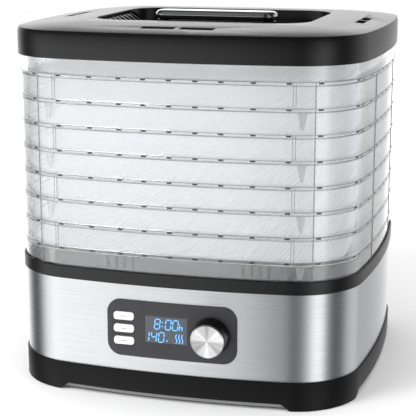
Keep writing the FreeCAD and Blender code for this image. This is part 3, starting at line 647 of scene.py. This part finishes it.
def trayMarks(number):
    m = marks
    bottom, top = (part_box(f"tray_{number}")[k][2] for k in (0, 1))
    level, body = top - tray["upstand"], f"tray_{number}_stack"
    sides = loopAt[-1] / 4 + np.concatenate([m["ventSide"], np.negative(m["ventSide"][1:])])
    spots = np.unique(np.concatenate([bothWays(m["ventFront"]), sides, sides + loopAt[-1] / 2]) % loopAt[-1])
    middle = level - 1.1 * mm
    vents = makePiece(f"tray{number}Vents", *prismsRound(
        spots, m["ventWide"], (1.9 * mm, 2.9 * mm), (middle - m["ventTall"] / 2, middle + m["ventTall"] / 2)))
    finishPiece(outward(vents), body, "clear_plastic", surface=ventShade)
    under = level - tray["band"]
    ribHeights = (bottom + 0.4 * mm, level - 0.8 * mm)
    if number % 2:
        legs = prismsRound(bothWays([m["legSpot"]]), m["legWide"], (4.2 * mm, 5.0 * mm),
                           (under - m["legTall"], under), m["legFoot"])
    else:
        legs = prismsRound(bothWays(m["ribPair"]), m["ribWide"], m["ribInsets"], ribHeights)
    finishPiece(outward(makePiece(f"tray{number}Legs", *legs)), body, "clear_plastic", surface=legClear)
    # The ribs take the same painted shade, which draws them as dark lines.
    ribs = prismsRound(bothWays(m["ribSpots"]), m["ribWide"], m["ribInsets"], ribHeights)
    finishPiece(outward(makePiece(f"tray{number}Ribs", *ribs)), body, "clear_plastic", surface=seamPaintedShade)
    # Seam rings at the shoulder and under the band, in painted shade.
    for tag, height in (("Upper", level - m["seamTall"]), ("Lower", under)):
        profile = wallProfile(1.85 * mm, 2.4 * mm, height, height + m["seamTall"], 0.1 * mm, 1)
        finishPiece(sweepRing(f"tray{number}{tag}Seam", profile), body, "clear_plastic", surface=seamPaintedShade)


for number in range(1, tray["count"] + 1):
    trayMarks(number)
print("tray marks made")


# Plan outlines at rising heights, joined by walls and closed at the bottom and the top.
def stackPiece(name, levels):
    count = len(levels[0][0])
    points = np.vstack([np.column_stack([flat, np.full(count, z)]) for flat, z in levels])
    index = np.arange(count)
    after = (index + 1) % count
    wall = np.stack([index, after, after + count, index + count], -1)
    walls = [wall + k * count for k in range(len(levels) - 1)]
    faces = np.vstack(walls).tolist() + [list(index[::-1]), list(index + (len(levels) - 1) * count)]
    return outward(makePiece(name, points, faces))


# The lid keeps the solid's shape with its edges rounded; the tub inside the recess is polished.
lid = {
    "edge": 0.9 * mm,
    "louvres": 8,
    "louvrePitch": 10.5 * mm,
    "rampRun": 17 * mm,
    "recessX": 0.1012,       # half sizes of the recess
    "recessY": 0.0762,
    "polishedFrom": 0.3135,  # the tub's walls are polished between these heights
    "polishedTo": 0.3302,
    "sideTilt": 0.5,         # a face whose normal rises less than this is on the side
}


# One value per face of a piece, such as its centre or its normal.
def faceValues(piece, kind):
    values = np.zeros(len(piece.data.polygons) * 3)
    piece.data.polygons.foreach_get(kind, values)
    return values.reshape(-1, 3)


lidPiece = softened("lid_shell", "lidShell", lid["edge"])
finishPiece(lidPiece, "lid", "black_plastic", "lid_shell", lidBlack)
lidPiece.data.materials.append(finishes["gloss_black"])
lidPiece.data.materials.append(sideBlack)
faceCentre = faceValues(lidPiece, "center")
inTub = ((np.abs(faceCentre[:, 0]) < lid["recessX"]) & (np.abs(faceCentre[:, 1]) < lid["recessY"])
         & (faceCentre[:, 2] > lid["polishedFrom"]) & (faceCentre[:, 2] < lid["polishedTo"]))
onSide = faceValues(lidPiece, "normal")[:, 2] < lid["sideTilt"]
material = np.where(inTub, 1, np.where(onSide, 2, 0))
lidPiece.data.polygons.foreach_set("material_index", material.astype(np.int32))

# Sloped end walls of the tub with louvres: a ramp seen from the side, higher by a half cosine
# where a louvre stands.
tubFloor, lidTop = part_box("handle_posts")[0][2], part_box("lid_shell")[1][2]


def louvredEnd(name, side):
    n = lid
    halfY = n["louvres"] / 2 * n["louvrePitch"]
    y = np.linspace(-halfY, halfY, n["louvres"] * 12 + 1)
    t = np.linspace(0, 1, 9)
    ridge = np.clip(np.cos(2 * math.pi * y / n["louvrePitch"]) * 1.6, -1, 1)[:, None] * 1.1 * mm
    top = np.zeros((len(y), len(t), 3))
    top[..., 0] = side * (n["recessX"] - 1.0 * mm - n["rampRun"] * t)
    top[..., 1] = y[:, None]
    top[..., 2] = tubFloor + (lidTop - 4.5 * mm - tubFloor) * (1 - t) + 1.2 * mm + ridge * np.sin(math.pi * t)
    low = top.copy()
    low[..., 2] = tubFloor - 0.2 * mm
    rows, columns = len(y), len(t)
    points = np.vstack([top.reshape(-1, 3), low.reshape(-1, 3)])
    quads = gridQuads(rows, columns)
    under = quads[:, ::-1] + rows * columns
    index = np.arange(rows * columns).reshape(rows, columns)
    border = np.concatenate([index[0], index[1:, -1], index[-1, -2::-1], index[-2:0:-1, 0]])
    after = np.roll(border, -1)
    sides = np.stack([border, border + rows * columns, after + rows * columns, after], -1)
    return outward(makePiece(name, points, np.vstack([quads, under, sides]), sharp=50))


# Dark baffles below the vent slots in the lid's top, with rounded ends: near black and almost without
# reflection, painted shade that makes the slots read dark.
roofUnder = lidTop - 8.6 * mm
baffles = [("ventBaffleFront", 0, -0.126, 38, 10), ("ventBaffleBack", 0, 0.126, 38, 10),
           ("ventBaffleLeft", -0.14, 0, 9, 32), ("ventBaffleRight", 0.14, 0, 9, 32)]


def baffle(name, x, y, halfX, halfY):
    plan = roundedPlan(halfX * mm, halfY * mm, 3 * mm) + [x, y]
    middle = np.array([x, y])
    levels = [(plan, roofUnder), (plan, roofUnder + 0.8 * mm),
              ((plan - middle) * 0.985 + middle, roofUnder + mm)]
    return stackPiece(name, levels)


for name, x, y, halfX, halfY in baffles:
    finishPiece(baffle(name, x, y, halfX, halfY), "lid", "gloss_black", surface=slotShadeBlack)
for name, side in (("tubEndLeft", -1), ("tubEndRight", 1)):
    finishPiece(louvredEnd(name, side), "lid", "gloss_black")

handleLow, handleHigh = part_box("lid_handle")
inlay = {"inset": 5 * mm, "radius": 7 * mm}
inlayShade = mouldedAbs("handleInlayAbs", "#2a2b2d", "#333436", 0.3)
plan = roundedPlan((handleHigh[0] - handleLow[0]) / 2 - inlay["inset"],
                   (handleHigh[1] - handleLow[1]) / 2 - inlay["inset"], inlay["radius"])
inlayTop = handleHigh[2] - 0.02 * mm
inlayPiece = stackPiece("handleInlay", [(plan, inlayTop - mm), (plan, inlayTop - 0.2 * mm),
                                        (plan * 0.985, inlayTop)])
finishPiece(inlayPiece, "lid", "gloss_black", surface=inlayShade)
posts = softened("handle_posts", "handlePosts", 0.6 * mm)
finishPiece(posts, "lid", "chrome", "handle_posts", finishes["gloss_black"])
print("lid made")


# The knob's cap: a turned disc with a bevelled edge, dished by a shallow parabola.
capLow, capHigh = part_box("knob_cap")
knobCentre = ((capLow[0] + capHigh[0]) / 2, capLow[1], (capLow[2] + capHigh[2]) / 2)
capRadius, capThick = (capHigh[0] - capLow[0]) / 2, capHigh[1] - capLow[1]
r = np.linspace(1e-5, capRadius - 1.0 * mm, 30)
dish = 0.35 * mm * (1 - (r / r[-1]) ** 2)
capRim = [(capRadius, 0.7 * mm), (capRadius, capThick), (1e-5, capThick)]
capProfile = np.vstack([np.column_stack([r, dish]), capRim])
capPiece = spinPiece("knobCapSpun", capProfile, knobCentre, (0, 1, 0), 160)
finishPiece(capPiece, "knob", "spun_aluminium", "knob_cap")


# Seven bars make a figure. Each bar is a long hexagon; figures lean to the right by the slant.
display = {
    "slant": 0.12,
    "stroke": 0.95 * mm,
    "thick": 0.15 * mm,
    "figure": (4.8 * mm, 9.0 * mm),     # width and height of a figure
    "gap": 1.75 * mm,
    "wideGap": 2.1 * mm,                # between the lower figures
    "colon": 3.5 * mm,
}
windowLow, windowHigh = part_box("display_window")
litFace = windowLow[1] - display["thick"]
figureBars = {"0": "abcdef", "1": "bc", "4": "bcfg", "8": "abcdefg"}


def barCorners(bar, size):
    w, h = size
    ends = {"a": ((0, h), (w, h)), "b": ((w, h), (w, h / 2)), "c": ((w, h / 2), (w, 0)),
            "d": ((0, 0), (w, 0)), "e": ((0, h / 2), (0, 0)), "f": ((0, h), (0, h / 2)),
            "g": ((0, h / 2), (w, h / 2))}[bar]
    start, end = np.array(ends[0], float), np.array(ends[1], float)
    along = (end - start) / np.linalg.norm(end - start)
    side = np.array([-along[1], along[0]]) * display["stroke"] / 2
    start, end = start + along * 0.35 * mm, end - along * 0.35 * mm
    tip = along * display["stroke"] / 2
    return np.array([start, start + tip + side, end - tip + side, end, end - tip - side, start + tip - side])


# Flat outlines (x, z pairs) pushed back by the segments' thickness and joined into one mesh.
def segmentPiece(name, outlines, origin):
    points, faces = [], []
    for flat in outlines:
        flat = np.asarray(flat, float)
        x = origin[0] + flat[:, 0] + flat[:, 1] * display["slant"]
        z = origin[1] + flat[:, 1]
        first, n = sum(len(p) for p in points), len(flat)
        front = np.column_stack([x, np.full(n, litFace), z])
        back = front + [0, display["thick"] + 0.05 * mm, 0]
        points += [front, back]
        ring = np.arange(n)
        nextOne = (ring + 1) % n
        faces += [list(first + ring), list(first + n + ring[::-1])]
        edge = np.stack([nextOne, ring, n + ring, n + nextOne], -1) + first
        faces += [list(quad) for quad in edge]
    piece = makePiece(name, np.vstack(points), faces)
    finishPiece(outward(piece), "base", "display_glass", surface=segmentGlow)


def figureRow(name, text, origin, gap):
    size = display["figure"]
    outlines, x = [], 0.0
    for figure in text:
        if figure == ":":
            for z in (0.3, 0.7):
                dot = np.array([[-1, -1], [1, -1], [1, 1], [-1, 1]]) * 0.5 * mm
                outlines.append(dot + [x + 0.6 * mm, z * size[1]])
            x += display["colon"]
            continue
        outlines += [barCorners(bar, size) + [x, 0] for bar in figureBars[figure]]
        x += size[0] + gap
    segmentPiece(name, outlines, origin)
    return x


rowHeights = (windowHigh[2] - 11.6 * mm, windowHigh[2] - 23.6 * mm)
upperStart, lowerStart = windowLow[0] + 8.2 * mm, windowLow[0] - 2.0 * mm
upperEnd = upperStart + figureRow("displayHours", "8:00", (upperStart, rowHeights[0]), display["gap"])
lowerEnd = lowerStart + figureRow("displayDegrees", "140", (lowerStart, rowHeights[1]), display["wideGap"])


# Small marks beside the figures: an h for hours, a degree ring and three rising waves.
def smallMarks():
    stem = np.array([[0, 0], [0.8, 0], [0.8, 5.6], [0, 5.6]]) * mm
    arch = [np.array([[0.8, 2.6], [2.6, 2.6], [2.6, 3.4], [0.8, 3.4]]) * mm,
            np.array([[2.6, 0], [3.4, 0], [3.4, 3.4], [2.6, 3.4]]) * mm]
    segmentPiece("displayHourMark", [stem] + arch, (upperEnd - 0.6 * mm, rowHeights[0]))
    turn = np.linspace(0, 2 * math.pi, 13)
    ring = np.column_stack([np.cos(turn), np.sin(turn)])
    slices = [np.vstack([ring[i:i + 2] * 0.8 * mm, ring[i:i + 2][::-1] * 0.45 * mm]) for i in range(12)]
    segmentPiece("displayDegreeRing", slices, (lowerEnd + 1.2 * mm, rowHeights[1] + 1.6 * mm))
    rise = np.linspace(0, 1, 9)
    sway = np.column_stack([0.8 * mm * np.sin(2 * math.pi * rise), 8.6 * mm * rise])
    waves = []
    for k in range(3):
        left, right = sway + [k * 2.7 * mm - 0.45 * mm, 0], sway + [k * 2.7 * mm + 0.45 * mm, 0]
        waves += [np.array([left[i], right[i], right[i + 1], left[i + 1]]) for i in range(len(rise) - 1)]
    segmentPiece("displayWaves", waves, (windowLow[0] + 28 * mm, rowHeights[1]))


smallMarks()
for name in ("top", "middle", "bottom"):
    low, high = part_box(f"button_{name}")
    middle = [(low[k] + high[k]) / 2 for k in range(3)]
    half = (2.6 * mm, 0.3 * mm)
    ink = makePiece(f"keyMark{name.title()}", *blocks(
        (middle[0] - half[0], low[1] - 0.04 * mm, middle[2] - half[1]),
        (middle[0] + half[0], low[1] + 0.1 * mm, middle[2] + half[1])))
    finishPiece(ink, f"button_{name}_key", "white_plastic", surface=keyInk)
print("panel made")

floorPiece = makePiece("floor", *blocks([(-4, -4, -0.01)], [(4, 4, 0.0)]))
floorPiece.data.materials.append(newSurface("paleFloor", "#fdfdfd", 0.9)[0])
floorPiece.visible_glossy = False

# Reflections see white cards and dark gaps by their bearing (degrees, 0 towards the front, turning
# right); in front they fade above the horizon. Everything else sees even white.
studio = {
    "white": 1.0,
    "fill": 1.05,
    "trayFill": 2.5,        # light that reaches the nets through the clear walls
    "cards": 1.7,
    "bearings": [(-180, 0.9), (-164, 1.0), (-140, 0.85), (-108, 0.09), (-94, 0.05), (-84, 0.2), (-70, 0.72),
                 (-53, 0.96), (-36, 0.9), (-18, 0.72), (-7, 0.6), (-2, 0.36), (3, 0.15), (12, 0.12),
                 (24, 0.15), (35, 0.38), (48, 0.92), (60, 0.96), (71, 0.26), (83, 0.07), (99, 0.09),
                 (115, 0.36), (135, 0.46), (159, 0.27), (172, 0.45), (180, 0.85)],
    "keyPlace": (-1.1, -1.5, 1.7),
    "keyPower": 26.0,
}
world = bpy.data.worlds.new("studio")
scene.world = world
world.use_nodes = True
sky = world.node_tree
backdrop = sky.nodes["Background"]
direction = addNode(sky, "ShaderNodeTexCoord")
axes = addNode(sky, "ShaderNodeSeparateXYZ", {"Vector": (direction, "Generated")})
towards = addNode(sky, "ShaderNodeMath", {0: (axes, "Y"), 1: -1.0}, operation="MULTIPLY")
bearing = addNode(sky, "ShaderNodeMath", {0: (axes, "X"), 1: (towards, "Value")}, operation="ARCTAN2")
turns = addNode(sky, "ShaderNodeMapRange", {"Value": (bearing, "Value"),
                                            "From Min": -math.pi, "From Max": math.pi})
cards = addNode(sky, "ShaderNodeValToRGB", {"Fac": (turns, "Result")})
stops = cards.color_ramp.elements
while len(stops) < len(studio["bearings"]):
    stops.new(0.5)
for stop, (angle, strength) in zip(stops, studio["bearings"]):
    stop.position = (angle + 180) / 360
    stop.color = (strength, strength, strength, 1)
upper = addNode(sky, "ShaderNodeMapRange", {"Value": (axes, "Z"), "From Min": 0.0, "From Max": 0.22,
                                            "To Min": 1.0, "To Max": 0.12})
ahead = addNode(sky, "ShaderNodeMapRange", {"Value": (towards, "Value"), "From Min": -0.3, "From Max": 0.2})
fade = addNode(sky, "ShaderNodeMix", {"Factor": (ahead, "Result"), 2: 1.0, 3: (upper, "Result")})
gain = addNode(sky, "ShaderNodeMath", {0: (fade, 0), 1: studio["cards"]}, operation="MULTIPLY")
above = addNode(sky, "ShaderNodeMapRange", {"Value": (axes, "Z"), "From Min": 0.28, "From Max": 0.6,
                                            "To Min": 1.0, "To Max": 0.05})
sky.links.new(above.outputs["Result"], fade.inputs[2])
lit = addNode(sky, "ShaderNodeVectorMath", {0: (cards, "Color"), "Scale": (gain, "Value")}, operation="SCALE")
rayKind = addNode(sky, "ShaderNodeLightPath")
through = addNode(sky, "ShaderNodeMath", {0: (rayKind, "Is Glossy Ray"), 1: (rayKind, "Is Transmission Ray")},
                  operation="SUBTRACT", use_clamp=True)
inside = addNode(sky, "ShaderNodeMath", {0: (rayKind, "Diffuse Depth"), 1: (rayKind, "Is Transmission Ray")},
                 operation="MULTIPLY", use_clamp=True)
openAir = addNode(sky, "ShaderNodeMapRange", {"Value": (rayKind, "Is Diffuse Ray"), "To Min": studio["white"],
                                            "To Max": studio["fill"]})
plain = addNode(sky, "ShaderNodeMix", {"Factor": (inside, "Value"), 2: (openAir, "Result"),
                                       3: studio["trayFill"]})
choose = addNode(sky, "ShaderNodeMix", {"Factor": (through, "Value")}, data_type="RGBA")
sky.links.new(plain.outputs[0], choose.inputs[6])
sky.links.new(lit.outputs["Vector"], choose.inputs[7])
sky.links.new(choose.outputs[2], backdrop.inputs["Color"])

keyData = bpy.data.lights.new("key", "AREA")
keyData.shape = "DISK"
keyData.size = 1.0
keyData.energy = studio["keyPower"]
key = bpy.data.objects.new("key", keyData)
key.location = studio["keyPlace"]
key.rotation_euler = (-key.location).to_track_quat("-Z", "Y").to_euler()
key.visible_glossy = False
scene.collection.objects.link(key)
print("studio made")
